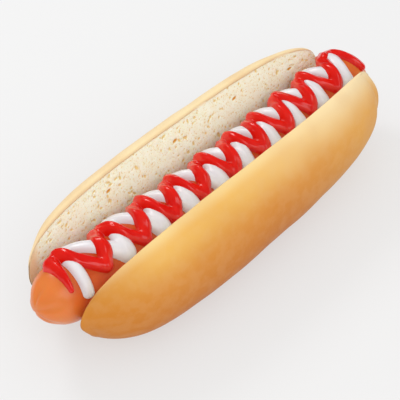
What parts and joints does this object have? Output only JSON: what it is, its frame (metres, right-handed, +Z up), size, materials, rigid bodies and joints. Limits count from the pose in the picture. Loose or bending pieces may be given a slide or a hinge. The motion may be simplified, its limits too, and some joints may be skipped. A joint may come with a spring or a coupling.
{
  "type": "hot dog",
  "caption": "Long split bun lying open on its base, holding a frankfurter topped with zigzags of mayonnaise and ketchup.",
  "frame": {"origin": "on the ground under the middle of the whole hot dog", "axes": "+X along the sausage toward the end that is further off in the picture, +Y toward the half whose crumb shows, +Z up"},
  "size_m": [0.1754, 0.0632, 0.0445],
  "materials": {
    "bun_crust": "Soft golden baked crust with a faint sheen, paler toward the lips and browner low down and at the ends.",
    "bun_crumb": "Matt cream white crumb of the cut faces with small open pores.",
    "sausage_skin": "Smooth moist orange brown casing, gathered into creases at each tip.",
    "mayonnaise": "Smooth white sauce, softly glossy.",
    "ketchup": "Wet glossy red sauce with bright highlights along its ridges."
  },
  "bodies": {
    "root": {"bun": "bun_crust", "sausage": "sausage_skin"}
  },
  "joints": []
}
